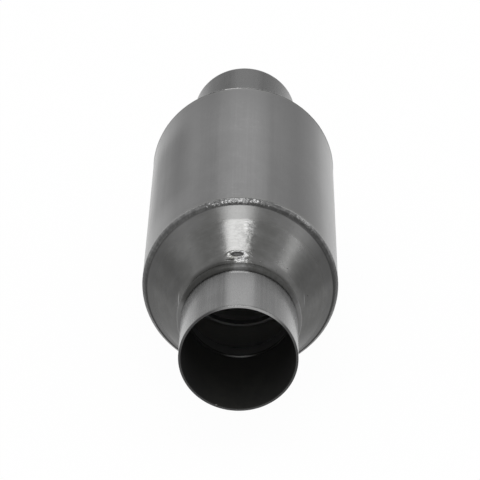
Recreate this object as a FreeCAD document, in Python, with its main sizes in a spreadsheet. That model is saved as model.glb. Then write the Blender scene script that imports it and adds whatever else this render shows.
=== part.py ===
import FreeCAD, Part
import math
import os
import Sketcher

# Round exhaust muffler: a rolled shell between two spun end cones, with a pipe stub at each end.
# Inside, each end has a diffuser cone that spreads the pipe's flow, and an open-nosed partition.
# The flow axis is Y, with the inlet towards -Y and the shell's seam at the bottom, -Z.
# The origin is the middle of the muffler, on its axis. Lengths are millimetres.

Vector = FreeCAD.Vector
os.makedirs("parts", exist_ok=True)
doc = FreeCAD.newDocument("round_muffler")

# Driving dimensions
DIMENSIONS = [
    ("shell_length", 180.0),            # between the two end seams
    ("shell_outer_dia", 130.2),
    ("shell_wall", 1.6),
    ("seam_gap", 1.2),                  # root gap of the shell's butt seam
    ("seam_bead_width", 5.0),
    ("seam_bead_height", 0.3),
    ("pipe_outer_dia", 76.2),
    ("pipe_wall", 1.6),
    ("pipe_reach", 98.0),               # from the pipe's mouth in to the shell's end
    ("pipe_length", 75.0),
    ("pipe_edge_break", 0.3),
    ("cone_wall", 1.6),
    ("cone_angle", 31.0),               # degrees from the flow axis
    ("cone_collar_length", 4.0),
    ("cone_skirt_length", 10.0),
    ("neck_radius", 6.0),
    ("knuckle_radius", 5.0),
    ("slip_clearance", 0.1),            # radial, at each slipped joint
    ("diffuser_wall", 1.2),
    ("diffuser_lap", 9.0),              # how far its collar goes into the pipe
    ("diffuser_collar_length", 10.0),
    ("diffuser_skirt_length", 8.0),
    ("partition_wall", 1.6),
    ("partition_mouth_dia", 81.8),
    ("partition_setback", 22.0),        # from the shell's end to the partition's mouth
    ("partition_collar_length", 4.0),
    ("partition_skirt_length", 8.0),
    ("neck_bead_foot", 3.7),            # along the pipe, ahead of the cone's collar
    ("neck_bead_lap", 2.8),             # back over the collar
    ("neck_bead_radius", 4.0),
    ("neck_root_depth", 0.5),           # how deep the bead is melted into the pipe
    ("end_bead_foot", 3.5),             # along the flow axis, out over the cone
    ("end_bead_lap", 1.2),              # back over the shell
    ("end_bead_radius", 3.0),
    ("diffuser_bead_foot", 5.0),
    ("diffuser_bead_radius", 5.0),
    ("tack_leg", 3.0),
    ("tack_span", 14.0),                # degrees of the circle that one tack covers
    ("tack_count", 6),
]

sheet = doc.addObject("Spreadsheet::Sheet", "sizes")
for row, (name, amount) in enumerate(DIMENSIONS, start=1):
    sheet.set(f"A{row}", name)
    sheet.set(f"B{row}", str(amount))
    sheet.setAlias(f"B{row}", name)
doc.recompute()


def number(formula):
    """The present value of a formula, used to place a sketch's first guess."""
    return float(sheet.evalExpression(formula))


# Formulas that several pieces share. Each end is drawn in its own frame, where
# "along" runs from the pipe's mouth inwards and "radius" is from the flow axis.
PIPE_R = "(sizes.pipe_outer_dia / 2)"
BORE_R = f"({PIPE_R} - sizes.pipe_wall)"
SHELL_R = "(sizes.shell_outer_dia / 2)"
SHELL_BORE_R = f"({SHELL_R} - sizes.shell_wall)"
SKIRT_R = f"({SHELL_BORE_R} - sizes.slip_clearance)"
COLLAR_R = f"({PIPE_R} + sizes.slip_clearance + sizes.cone_wall)"
DIFFUSER_R = f"({BORE_R} - sizes.slip_clearance)"
PARTITION_R = "(sizes.partition_mouth_dia / 2 + sizes.partition_wall)"
HALF_LENGTH = "(sizes.shell_length / 2 + sizes.pipe_reach)"
NECK_TANGENT = "(sizes.neck_radius * tan(sizes.cone_angle / 2))"
KNUCKLE_TANGENT = "(sizes.knuckle_radius * tan(sizes.cone_angle / 2))"


def cone_run(collar_r):
    """Axial length of a cone, from the end of its collar to the start of its skirt."""
    slope = f"({SKIRT_R} - {collar_r}) / tan(sizes.cone_angle)"
    return f"({NECK_TANGENT} + {slope} + {KNUCKLE_TANGENT})"


CONE_EDGE = f"(sizes.pipe_reach - {cone_run(COLLAR_R)} - sizes.cone_collar_length)"
NECK_TOE = f"({CONE_EDGE} - sizes.neck_bead_foot)"
NECK_ROOT_R = ("((sizes.neck_bead_foot^2 / 4 + sizes.neck_root_depth^2)"
               " / (2 * sizes.neck_root_depth))")
DIFFUSER_EDGE = "(sizes.pipe_length - sizes.diffuser_lap)"
DIFFUSER_BEND = f"({DIFFUSER_EDGE} + sizes.diffuser_collar_length)"
PARTITION_EDGE = "(sizes.pipe_reach + sizes.partition_setback)"
PARTITION_END = (f"({PARTITION_EDGE} + sizes.partition_collar_length + {cone_run(PARTITION_R)}"
                 " + sizes.partition_skirt_length)")


# Sketches and bodies

def new_body(label):
    body = doc.addObject("PartDesign::Body", label)
    body.Label = label
    return body


def new_sketch(body, plane_role, name):
    plane = next(item for item in body.Origin.OriginFeatures if item.Role == plane_role)
    sketch = body.newObject("Sketcher::SketchObject", name)
    sketch.AttachmentSupport = [(plane, "")]
    sketch.MapMode = "FlatFace"
    return sketch


def bind(sketch, name, formula, kind, *elements):
    """Adds one dimension to a sketch and ties it to a formula of the sheet."""
    value = number(formula)
    if kind == "Angle":
        value = math.radians(value)
    index = sketch.addConstraint(Sketcher.Constraint(kind, *elements, value))
    sketch.renameConstraint(index, name)
    sketch.setExpression(f"Constraints.{name}", formula)


def join(sketch, kind, first, first_end, second, second_end):
    sketch.addConstraint(Sketcher.Constraint(kind, first, first_end, second, second_end))


def arc_of(centre, radius, from_degrees, to_degrees):
    circle = Part.Circle(centre, Vector(0, 0, 1), radius)
    return Part.ArcOfCircle(circle, math.radians(from_degrees), math.radians(to_degrees))


def bulging_arc(start, end, radius, bulge):
    """The short arc between two points, bulging left (1) or right (-1) of the way it goes."""
    chord = end - start
    side = Vector(-chord.y, chord.x, 0).normalize() * bulge
    rise = radius - math.sqrt(radius ** 2 - (chord.Length / 2) ** 2)
    middle = (start + end) * 0.5 + side * rise
    return Part.Arc(end, middle, start) if bulge > 0 else Part.Arc(start, middle, end)


def closed_outline(sketch, corners):
    """A closed outline through corners of (along, radius) or (along, radius, arc, bulge).

    A corner's arc radius and bulge are those of the edge that leads to the next corner.
    """
    points = [Vector(number(corner[0]), number(corner[1]), 0) for corner in corners]
    count = len(corners)
    first_ends = []
    last_ends = []
    for index, corner in enumerate(corners):
        start = points[index]
        end = points[(index + 1) % count]
        # A sketch holds every arc anticlockwise, so one that bulges left runs backwards.
        backwards = len(corner) > 2 and corner[3] > 0
        first_ends.append(2 if backwards else 1)
        last_ends.append(1 if backwards else 2)
        if len(corner) > 2:
            sketch.addGeometry(bulging_arc(start, end, number(corner[2]), corner[3]))
        else:
            sketch.addGeometry(Part.LineSegment(start, end))
    for index, corner in enumerate(corners):
        following = (index + 1) % count
        join(sketch, "Coincident", index, last_ends[index], following, first_ends[following])
        bind(sketch, f"along_{index}", corner[0], "DistanceX", -1, 1, index, first_ends[index])
        bind(sketch, f"radius_{index}", corner[1], "DistanceY", -1, 1, index, first_ends[index])
        if len(corner) > 2:
            bind(sketch, f"bend_{index}", corner[2], "Radius", index)


def revolve(body, sketch, name):
    """Turns a sketch all the way round the flow axis."""
    feature = body.newObject("PartDesign::Revolution", name)
    feature.Profile = sketch
    feature.ReferenceAxis = (sketch, ["H_Axis"])
    feature.Angle = 360
    return feature


def ring(label, corners):
    """A body turned from one closed outline about the flow axis."""
    body = new_body(label)
    sketch = new_sketch(body, "YZ_Plane", f"{label}_section")
    closed_outline(sketch, corners)
    revolve(body, sketch, f"{label}_turned")
    return body


# Shell and its seam

def ring_sector(sketch, long_way):
    """The shell's section, or with long_way off, the root gap that the seam weld fills."""
    half_gap = number("sizes.seam_gap / 2")
    right, left = (1, 2) if long_way else (2, 1)
    for radius in (number(SHELL_R), number(SHELL_BORE_R)):
        lean = math.degrees(math.asin(half_gap / radius))
        span = (lean - 90, 270 - lean) if long_way else (-90 - lean, lean - 90)
        sketch.addGeometry(arc_of(Vector(0, 0, 0), radius, *span))
    outer, inner, right_edge, left_edge = range(4)
    for side in (1, -1):
        ends = [Vector(side * half_gap, -math.sqrt(radius ** 2 - half_gap ** 2), 0)
                for radius in (number(SHELL_R), number(SHELL_BORE_R))]
        sketch.addGeometry(Part.LineSegment(*ends))
    for line, arc_end in ((right_edge, right), (left_edge, left)):
        join(sketch, "Coincident", line, 1, outer, arc_end)
        join(sketch, "Coincident", line, 2, inner, arc_end)
        sketch.addConstraint(Sketcher.Constraint("Vertical", line))
    join(sketch, "Coincident", outer, 3, -1, 1)
    join(sketch, "Coincident", inner, 3, -1, 1)
    bind(sketch, "outer_radius", SHELL_R, "Radius", outer)
    bind(sketch, "inner_radius", SHELL_BORE_R, "Radius", inner)
    bind(sketch, "right_edge", "sizes.seam_gap / 2", "DistanceX", -1, 1, right_edge, 1)
    bind(sketch, "left_edge", "sizes.seam_gap / 2", "DistanceX", left_edge, 1, -1, 1)


def pad_both_ways(body, sketch, name, length):
    pad = body.newObject("PartDesign::Pad", name)
    pad.Profile = sketch
    pad.Midplane = True
    pad.setExpression("Length", length)
    return pad


def make_shell():
    """One sheet rolled to a tube, its long edges left a root gap apart at the bottom."""
    body = new_body("shell")
    sketch = new_sketch(body, "XZ_Plane", "rolled_section")
    ring_sector(sketch, long_way=True)
    pad_both_ways(body, sketch, "rolled_sheet", "sizes.shell_length")
    return body


def make_seam_weld():
    """Fills the root gap, flush inside, with a low crown between the two end welds."""
    body = new_body("shell_seam_weld")
    root = new_sketch(body, "XZ_Plane", "root_section")
    ring_sector(root, long_way=False)
    pad_both_ways(body, root, "root_fill", "sizes.shell_length")

    crown = new_sketch(body, "XZ_Plane", "crown_section")
    half_width = "sizes.seam_bead_width / 2"
    sag = f"({SHELL_R} + sizes.seam_bead_height - sqrt({SHELL_R}^2 - ({half_width})^2))"
    crown_r = f"((({half_width})^2 + {sag}^2) / (2 * {sag}))"
    shell_lean = math.degrees(math.asin(number(half_width) / number(SHELL_R)))
    crown_lean = math.degrees(math.asin(number(half_width) / number(crown_r)))
    crown_centre = Vector(0, number(crown_r) - number(SHELL_R) - number("sizes.seam_bead_height"), 0)
    base_arc = crown.addGeometry(
        arc_of(Vector(0, 0, 0), number(SHELL_R), -90 - shell_lean, shell_lean - 90))
    crown_arc = crown.addGeometry(
        arc_of(crown_centre, number(crown_r), -90 - crown_lean, crown_lean - 90))
    join(crown, "Coincident", base_arc, 1, crown_arc, 1)
    join(crown, "Coincident", base_arc, 2, crown_arc, 2)
    join(crown, "Coincident", base_arc, 3, -1, 1)
    bind(crown, "shell_radius", SHELL_R, "Radius", base_arc)
    bind(crown, "crown_radius", crown_r, "Radius", crown_arc)
    bind(crown, "right_toe", half_width, "DistanceX", -1, 1, base_arc, 2)
    bind(crown, "left_toe", half_width, "DistanceX", base_arc, 1, -1, 1)
    pad_both_ways(body, crown, "crown", "sizes.shell_length - 2 * sizes.end_bead_lap")
    return body


# Pieces of each end

def make_pipe(label):
    """The stub that the exhaust line joins: a broken mouth edge and the neck weld's root groove."""
    edge = "sizes.pipe_edge_break"
    return ring(label, [
        ("0", f"{BORE_R} + {edge}"),
        ("0", f"{PIPE_R} - {edge}"),
        (edge, PIPE_R),
        (NECK_TOE, PIPE_R, NECK_ROOT_R, -1),
        (CONE_EDGE, PIPE_R),
        ("sizes.pipe_length", PIPE_R),
        ("sizes.pipe_length", BORE_R),
        (edge, BORE_R),
    ])


def spun_cone(label, edge, collar_r, wall, collar_length, skirt_length):
    """A spun sheet cone: collar, neck bend, cone, knuckle bend and the skirt in the shell.

    edge is where its collar starts, and collar_r the collar's outer radius there.
    """
    body = new_body(label)
    sketch = new_sketch(body, "YZ_Plane", f"{label}_section")
    turn = number("sizes.cone_angle")
    thick = number(wall)
    neck = number("sizes.neck_radius")
    knuckle = number("sizes.knuckle_radius")
    bend_at = number(edge) + number(collar_length)
    skirt_at = bend_at + number(cone_run(collar_r))
    neck_centre = Vector(bend_at, number(collar_r) + neck, 0)
    knuckle_centre = Vector(skirt_at, number(SKIRT_R) - knuckle, 0)
    neck_out = arc_of(neck_centre, neck, -90, turn - 90)
    neck_in = arc_of(neck_centre, neck + thick, -90, turn - 90)
    knuckle_out = arc_of(knuckle_centre, knuckle, 90, 90 + turn)
    knuckle_in = arc_of(knuckle_centre, knuckle - thick, 90, 90 + turn)
    back = Vector(-number(collar_length), 0, 0)
    forward = Vector(number(skirt_length), 0, 0)

    def line(start, end):
        return sketch.addGeometry(Part.LineSegment(start, end))

    collar_top = line(neck_out.StartPoint + back, neck_out.StartPoint)
    neck_top = sketch.addGeometry(neck_out)
    cone_top = line(neck_out.EndPoint, knuckle_out.EndPoint)
    knuckle_top = sketch.addGeometry(knuckle_out)
    skirt_top = line(knuckle_out.StartPoint, knuckle_out.StartPoint + forward)
    skirt_end = line(knuckle_out.StartPoint + forward, knuckle_in.StartPoint + forward)
    skirt_under = line(knuckle_in.StartPoint + forward, knuckle_in.StartPoint)
    knuckle_under = sketch.addGeometry(knuckle_in)
    cone_under = line(knuckle_in.EndPoint, neck_in.EndPoint)
    neck_under = sketch.addGeometry(neck_in)
    collar_under = line(neck_in.StartPoint, neck_in.StartPoint + back)
    collar_end = line(neck_in.StartPoint + back, neck_out.StartPoint + back)

    join(sketch, "Tangent", collar_top, 2, neck_top, 1)
    join(sketch, "Tangent", neck_top, 2, cone_top, 1)
    join(sketch, "Tangent", cone_top, 2, knuckle_top, 2)
    join(sketch, "Tangent", knuckle_top, 1, skirt_top, 1)
    join(sketch, "Coincident", skirt_top, 2, skirt_end, 1)
    join(sketch, "Coincident", skirt_end, 2, skirt_under, 1)
    join(sketch, "Tangent", skirt_under, 2, knuckle_under, 1)
    join(sketch, "Tangent", knuckle_under, 2, cone_under, 1)
    join(sketch, "Tangent", cone_under, 2, neck_under, 2)
    join(sketch, "Tangent", neck_under, 1, collar_under, 1)
    join(sketch, "Coincident", collar_under, 2, collar_end, 1)
    join(sketch, "Coincident", collar_end, 2, collar_top, 1)
    join(sketch, "Coincident", neck_top, 3, neck_under, 3)
    join(sketch, "Coincident", knuckle_top, 3, knuckle_under, 3)
    for level in (collar_top, skirt_top, skirt_under, collar_under):
        sketch.addConstraint(Sketcher.Constraint("Horizontal", level))
    for upright in (skirt_end, collar_end):
        sketch.addConstraint(Sketcher.Constraint("Vertical", upright))

    bind(sketch, "edge_at", edge, "DistanceX", -1, 1, collar_top, 1)
    bind(sketch, "collar_radius", collar_r, "DistanceY", -1, 1, collar_top, 1)
    bind(sketch, "skirt_radius", SKIRT_R, "DistanceY", -1, 1, skirt_top, 2)
    bind(sketch, "collar_length", collar_length, "DistanceX", collar_top, 1, collar_top, 2)
    bind(sketch, "skirt_length", skirt_length, "DistanceX", skirt_top, 1, skirt_top, 2)
    bind(sketch, "collar_wall", wall, "DistanceY", collar_end, 1, collar_end, 2)
    bind(sketch, "skirt_wall", wall, "DistanceY", skirt_end, 2, skirt_end, 1)
    bind(sketch, "slope", "sizes.cone_angle", "Angle", cone_top)
    bind(sketch, "neck_bend", "sizes.neck_radius", "Radius", neck_top)
    bind(sketch, "knuckle_bend", "sizes.knuckle_radius", "Radius", knuckle_top)
    revolve(body, sketch, f"{label}_spun")
    return body


def make_neck_weld(label):
    """The bead round the pipe that covers the edge of the end cone's collar, root in the pipe."""
    return ring(label, [
        (NECK_TOE, PIPE_R, NECK_ROOT_R, -1),
        (CONE_EDGE, PIPE_R),
        (CONE_EDGE, COLLAR_R),
        (f"{CONE_EDGE} + sizes.neck_bead_lap", COLLAR_R, "sizes.neck_bead_radius", -1),
    ])


def make_end_weld(label):
    """The bead in the groove between the shell's end and the end cone's knuckle."""
    shell_end = "sizes.pipe_reach"
    return ring(label, [
        (f"{shell_end} + sizes.end_bead_lap", SHELL_R),
        (shell_end, SHELL_R),
        (shell_end, SKIRT_R, "sizes.knuckle_radius", -1),
        (f"{shell_end} - {KNUCKLE_TANGENT} * (1 + cos(sizes.cone_angle))",
         f"{SKIRT_R} - {KNUCKLE_TANGENT} * sin(sizes.cone_angle)"),
        (f"{shell_end} - sizes.end_bead_foot",
         f"{SKIRT_R} - (sizes.end_bead_foot - {KNUCKLE_TANGENT}) * tan(sizes.cone_angle)",
         "sizes.end_bead_radius", 1),
    ])


def make_diffuser_weld(label):
    """The bead between the pipe's inner end and the diffuser, on the chamber's side."""
    pipe_end = "sizes.pipe_length"
    reach = f"({pipe_end} + sizes.diffuser_bead_foot - {DIFFUSER_BEND} - {NECK_TANGENT})"
    return ring(label, [
        (pipe_end, PIPE_R),
        (pipe_end, DIFFUSER_R),
        (DIFFUSER_BEND, DIFFUSER_R, "sizes.neck_radius", -1),
        (f"{DIFFUSER_BEND} + {NECK_TANGENT} * (1 + cos(sizes.cone_angle))",
         f"{DIFFUSER_R} + {NECK_TANGENT} * sin(sizes.cone_angle)"),
        (f"{pipe_end} + sizes.diffuser_bead_foot",
         f"{DIFFUSER_R} + {reach} * tan(sizes.cone_angle)", "sizes.diffuser_bead_radius", -1),
    ])


def make_partition_tacks(label):
    """Short welds that hold the deep edge of the partition's skirt to the shell."""
    body = new_body(label)
    sketch = new_sketch(body, "YZ_Plane", f"{label}_section")
    closed_outline(sketch, [
        (PARTITION_END, f"{SKIRT_R} - sizes.partition_wall"),
        (PARTITION_END, SHELL_BORE_R),
        (f"{PARTITION_END} + sizes.tack_leg", SHELL_BORE_R, "sizes.tack_leg", 1),
    ])
    tack = revolve(body, sketch, f"{label}_one")
    tack.Midplane = True
    tack.setExpression("Angle", "sizes.tack_span")
    pattern = body.newObject("PartDesign::PolarPattern", f"{label}_round")
    pattern.Originals = [tack]
    pattern.Axis = (sketch, ["H_Axis"])
    pattern.Angle = 360
    pattern.setExpression("Occurrences", "sizes.tack_count")
    body.Tip = pattern
    return body


def place_at_end(body, end):
    """Moves a piece that is drawn from the mouth inwards to its end of the muffler."""
    if end == "outlet":
        body.Placement.Rotation = FreeCAD.Rotation(Vector(0, 0, 1), 180)
        body.setExpression("Placement.Base.y", HALF_LENGTH)
    else:
        body.setExpression("Placement.Base.y", f"-{HALF_LENGTH}")


def make_end(end):
    pieces = [
        make_pipe(f"{end}_pipe"),
        spun_cone(f"{end}_cone", CONE_EDGE, COLLAR_R, "sizes.cone_wall",
                  "sizes.cone_collar_length", "sizes.cone_skirt_length"),
        spun_cone(f"{end}_diffuser", DIFFUSER_EDGE, DIFFUSER_R, "sizes.diffuser_wall",
                  "sizes.diffuser_collar_length", "sizes.diffuser_skirt_length"),
        spun_cone(f"{end}_partition", PARTITION_EDGE, PARTITION_R, "sizes.partition_wall",
                  "sizes.partition_collar_length", "sizes.partition_skirt_length"),
        make_neck_weld(f"{end}_neck_weld"),
        make_end_weld(f"{end}_end_weld"),
        make_diffuser_weld(f"{end}_diffuser_weld"),
        make_partition_tacks(f"{end}_partition_tacks"),
    ]
    for piece in pieces:
        place_at_end(piece, end)
    return pieces


# The muffler

pieces = [make_shell(), make_seam_weld()] + make_end("inlet") + make_end("outlet")
doc.recompute()

for item in doc.Objects:
    if "Invalid" in item.State or "Error" in item.State:
        raise RuntimeError(f"{item.Label} failed to build: {item.State}")
for piece in pieces:
    if piece.Shape.isNull() or not piece.Shape.isValid():
        raise RuntimeError(f"{piece.Label} has no valid shape")
for piece in pieces:
    piece.Shape.exportStep(f"parts/{piece.Label}.step")
    print(piece.Label, len(piece.Shape.Solids), round(piece.Shape.Volume, 1))
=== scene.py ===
import math
import random

import bmesh
import bpy
from mathutils import Matrix, Vector, noise


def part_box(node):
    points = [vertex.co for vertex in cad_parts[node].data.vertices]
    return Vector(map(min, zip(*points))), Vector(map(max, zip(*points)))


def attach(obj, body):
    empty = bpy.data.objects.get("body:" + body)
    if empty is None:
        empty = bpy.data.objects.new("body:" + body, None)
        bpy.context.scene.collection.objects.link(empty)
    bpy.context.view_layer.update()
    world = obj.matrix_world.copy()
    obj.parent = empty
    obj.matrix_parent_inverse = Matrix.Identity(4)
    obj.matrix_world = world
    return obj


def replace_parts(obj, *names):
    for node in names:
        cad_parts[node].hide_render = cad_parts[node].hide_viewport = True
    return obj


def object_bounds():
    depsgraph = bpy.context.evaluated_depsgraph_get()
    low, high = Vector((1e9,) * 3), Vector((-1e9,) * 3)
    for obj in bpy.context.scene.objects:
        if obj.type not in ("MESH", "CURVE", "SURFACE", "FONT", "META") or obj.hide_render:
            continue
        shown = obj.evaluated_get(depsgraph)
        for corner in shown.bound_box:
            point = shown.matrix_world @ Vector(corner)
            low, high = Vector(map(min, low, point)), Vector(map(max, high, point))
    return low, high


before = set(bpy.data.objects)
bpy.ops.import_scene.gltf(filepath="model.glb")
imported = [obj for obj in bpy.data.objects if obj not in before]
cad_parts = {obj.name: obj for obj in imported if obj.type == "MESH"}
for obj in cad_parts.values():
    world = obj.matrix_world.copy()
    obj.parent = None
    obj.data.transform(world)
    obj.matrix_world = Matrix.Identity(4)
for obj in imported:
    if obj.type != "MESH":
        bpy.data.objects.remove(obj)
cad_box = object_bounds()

# Round exhaust muffler, dressed: brushed and burnished sheet, rippled weld beads, dark bore.
# Units are metres. Each end is described by "along", the distance out from the middle of the
# muffler, and by the angle round the flow axis, 0 at the top and growing towards +X.

MM = 0.001
INLET, OUTLET = -1, 1
ENDS = (("inlet", INLET), ("outlet", OUTLET))

# Sizes read from the frame
SHELL_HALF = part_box("shell")[1].y
SHELL_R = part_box("shell")[1].x
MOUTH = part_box("outlet_pipe")[1].y
PIPE_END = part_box("outlet_pipe")[0].y
PIPE_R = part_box("outlet_pipe")[1].x
COLLAR_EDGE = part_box("outlet_cone")[1].y
SKIRT_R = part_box("outlet_cone")[1].x
NECK_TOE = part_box("outlet_neck_weld")[1].y
NECK_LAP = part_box("outlet_neck_weld")[0].y
END_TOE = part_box("outlet_end_weld")[1].y
END_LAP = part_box("outlet_end_weld")[0].y
END_CROWN_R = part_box("outlet_end_weld")[1].x
SEAM_CROWN_R = -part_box("shell_seam_weld")[0].z
FLOOR_Z = cad_box[0].z

# Sizes that the frame's boxes don't show
WALL = 1.6 * MM
DIFFUSER_WALL = 1.2 * MM
SLIP = 0.1 * MM
CONE_ANGLE = math.radians(31)
NECK_BEND = 6.0 * MM
KNUCKLE_BEND = 5.0 * MM
CONE_COLLAR, CONE_SKIRT = 4.0 * MM, 10.0 * MM
DIFFUSER_COLLAR, DIFFUSER_SKIRT = 10.0 * MM, 8.0 * MM
PARTITION_COLLAR, PARTITION_SKIRT = 4.0 * MM, 8.0 * MM
COLLAR_R = PIPE_R + SLIP + WALL
DIFFUSER_R = PIPE_R - WALL - SLIP
PARTITION_R = 40.9 * MM + WALL
INNER_CONES = (("diffuser", DIFFUSER_R, DIFFUSER_WALL, DIFFUSER_COLLAR, DIFFUSER_SKIRT),
               ("partition", PARTITION_R, WALL, PARTITION_COLLAR, PARTITION_SKIRT))
ROUND_CUT = 0.3 * MM            # how far the cut edges of the sheets are rounded
SEAM_HALF_WIDTH = 2.5 * MM


# Outlines of the turned sheets, as points of (along, radius)

def arc_points(centre, radius, start, end, steps):
    """Points of an arc; angles in degrees, from the outward flow direction towards the outside."""
    turns = (math.radians(start + (end - start) * step / steps) for step in range(steps + 1))
    return [(centre[0] + radius * math.cos(turn), centre[1] + radius * math.sin(turn))
            for turn in turns]


def straight_points(start, end, step=2.0 * MM):
    """Points inside a straight run, closer together near both of its ends."""
    length = math.dist(start, end)
    count = max(2, round(length / step))
    shares = [0.02, 0.08] + [index / count for index in range(1, count)] + [0.92, 0.98]
    return [(start[0] + (end[0] - start[0]) * share, start[1] + (end[1] - start[1]) * share)
            for share in sorted(set(shares))]


def tube_outline(near, far, outer, wall):
    """A straight tube wall between two ends, its four cut edges rounded."""
    cut = ROUND_CUT
    inner = outer - wall
    corners = [((far - cut, outer - cut), 90, 0), ((far - cut, inner + cut), 0, -90),
               ((near + cut, inner + cut), -90, -180), ((near + cut, outer - cut), 180, 90)]
    outline = []
    for index, (centre, start, end) in enumerate(corners):
        corner = arc_points(centre, cut, start, end, 4)
        if outline:
            outline += straight_points(outline[-1], corner[0])
        outline += corner
    return outline + straight_points(outline[-1], outline[0])


def cone_outline(node, collar_r, wall, collar_length, skirt_length):
    """A spun cone: skirt in the shell, knuckle, cone, neck bend and a collar with a rounded rim."""
    turn = math.degrees(CONE_ANGLE)
    skirt_end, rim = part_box(node)[0].y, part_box(node)[1].y
    knuckle = (skirt_end + skirt_length, SKIRT_R - KNUCKLE_BEND)
    neck = (rim - collar_length, collar_r + NECK_BEND)
    skirt_top = (skirt_end, SKIRT_R)
    skirt_under = (skirt_end, SKIRT_R - wall)
    knuckle_top = arc_points(knuckle, KNUCKLE_BEND, 90, 90 - turn, 10)
    neck_top = arc_points(neck, NECK_BEND, 270 - turn, 270, 10)
    neck_under = arc_points(neck, NECK_BEND + wall, 270, 270 - turn, 10)
    knuckle_under = arc_points(knuckle, KNUCKLE_BEND - wall, 90 - turn, 90, 10)
    rim_top = arc_points((rim - ROUND_CUT, collar_r - ROUND_CUT), ROUND_CUT, 90, 0, 5)
    rim_under = arc_points((rim - ROUND_CUT, collar_r - wall + ROUND_CUT), ROUND_CUT, 0, -90, 5)
    outline = [skirt_top] + straight_points(skirt_top, knuckle_top[0]) + knuckle_top
    outline += straight_points(knuckle_top[-1], neck_top[0], 1.2 * MM) + neck_top
    outline += straight_points(neck_top[-1], rim_top[0]) + rim_top + rim_under
    outline += straight_points(rim_under[-1], neck_under[0]) + neck_under
    outline += straight_points(neck_under[-1], knuckle_under[0]) + knuckle_under
    return outline + straight_points(knuckle_under[-1], skirt_under) + [skirt_under]


def cone_radius(along):
    """Outer radius of the end cone on its straight slope."""
    tangent = KNUCKLE_BEND * math.tan(CONE_ANGLE / 2)
    return SKIRT_R - (along - SHELL_HALF - tangent) * math.tan(CONE_ANGLE)


def skin_radius(along):
    """Outer radius of the end cone from its slope through the neck bend to the collar."""
    bend_end = COLLAR_EDGE - CONE_COLLAR
    bend_start = bend_end - NECK_BEND * math.sin(CONE_ANGLE)
    if along <= bend_start:
        return cone_radius(along)
    if along >= bend_end:
        return COLLAR_R
    return COLLAR_R + NECK_BEND - math.sqrt(NECK_BEND ** 2 - (along - bend_end) ** 2)


# Meshes

def at(side, along, radius, angle):
    return Vector((radius * math.sin(angle), side * along, radius * math.cos(angle)))


def finished(name, grid_mesh, material):
    """Makes an object of a mesh, smooth and dressed, that rides on the muffler."""
    bmesh.ops.recalc_face_normals(grid_mesh, faces=grid_mesh.faces)
    mesh = bpy.data.meshes.new(name)
    grid_mesh.to_mesh(mesh)
    grid_mesh.free()
    mesh.shade_smooth()
    mesh.materials.append(material)
    piece = bpy.data.objects.new(name, mesh)
    bpy.context.scene.collection.objects.link(piece)
    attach(piece, "root")
    return piece


def closed_grid(rows, wrap_rows=True, wrap_points=True):
    """A mesh through rows of points, each row joined to the next and to itself."""
    grid = bmesh.new()
    made = [[grid.verts.new(point) for point in row] for row in rows]
    row_count = len(made) if wrap_rows else len(made) - 1
    for index in range(row_count):
        row, following = made[index], made[(index + 1) % len(made)]
        point_count = len(row) if wrap_points else len(row) - 1
        for point in range(point_count):
            beyond = (point + 1) % len(row)
            grid.faces.new((row[point], row[beyond], following[beyond], following[point]))
    return grid


def turned(name, outline, side, material, unevenness=None, segments=256):
    """A sheet piece turned about the flow axis, with an optional uneven radius."""
    rows = []
    for segment in range(segments):
        angle = 2 * math.pi * segment / segments
        row = []
        for along, radius in outline:
            dent = unevenness(along, radius, angle) if unevenness else 0
            row.append(at(side, along, radius - dent, angle))
        rows.append(row)
    return finished(name, closed_grid(rows), material)


def drift(angle, along, size, seed):
    """Smooth noise over a turned surface, from 0 to 1; size is that of one swell."""
    typical_radius = 0.05
    across = typical_radius / size
    point = Vector((math.sin(angle) * across, along / size + seed, math.cos(angle) * across))
    return 0.5 + 0.5 * noise.noise(point)


# Beads

def scale_ripple(travel, across, pitch, seed):
    """Height of the overlapping scales that a weld pool leaves, from 0 to 1."""
    wander = 0.35 * noise.noise(Vector((travel / pitch * 0.4, 0, seed)))
    phase = (travel / pitch + wander + 0.55 * across * across) % 1.0
    return (1 - phase) ** 0.6 * (1 - 0.5 * across * across)


def ring_bead(name, side, inner_toe, outer_toe, bulge, fullness, pitch, ripple, lumps, seed,
              material, highest=None):
    """A weld bead round the flow axis, lying between two toes of (along, radius). A high
    fullness gives it a flat back with steep sides."""
    turns, across_steps = 1200, 20
    uneven, calm = 0.25, 0.3
    lively_reach = 34           # degrees from the top
    root_depth = 0.4 * MM
    slope = Vector((outer_toe[0] - inner_toe[0], outer_toe[1] - inner_toe[1]))
    outward = Vector((-slope.y, slope.x)).normalized()
    if outward.y < 0:
        outward = -outward
    mean_radius = (inner_toe[1] + outer_toe[1]) / 2
    rows = []
    for turn in range(turns):
        angle = 2 * math.pi * turn / turns
        travel = angle * mean_radius
        swell = 1 + uneven * noise.noise(Vector((math.sin(angle) * 3, seed, math.cos(angle) * 3)))
        shift = 0.35 * uneven * MM * noise.noise(
            Vector((math.sin(angle) * 7, seed + 9, math.cos(angle) * 7)))
        from_top = math.degrees(min(angle, 2 * math.pi - angle))
        lively = calm + (1 - calm) * math.exp(-(from_top / lively_reach) ** 2)
        row = []
        for step in range(across_steps + 1):
            across = 2 * step / across_steps - 1
            share = (across + 1) / 2
            crown = (1 - abs(across) ** fullness) ** 0.8
            scale = scale_ripple(travel, across, pitch, seed)
            spot = Vector((travel / MM * 0.55, across * 1.6, seed * 3))
            rise = crown * (bulge * swell + lively * lumps * noise.noise(spot))
            rise += crown ** 0.5 * lively * ripple * (scale - 0.5)
            along = inner_toe[0] + slope.x * share + outward.x * rise + shift * crown
            radius = inner_toe[1] + slope.y * share + outward.y * rise
            if highest:
                radius = min(radius, highest)
            row.append(at(side, along, radius, angle))
        for toe in (outer_toe, inner_toe):
            row.append(at(side, toe[0], toe[1] - root_depth, angle))
        rows.append(row)
    return finished(name, closed_grid(rows), material)


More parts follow.
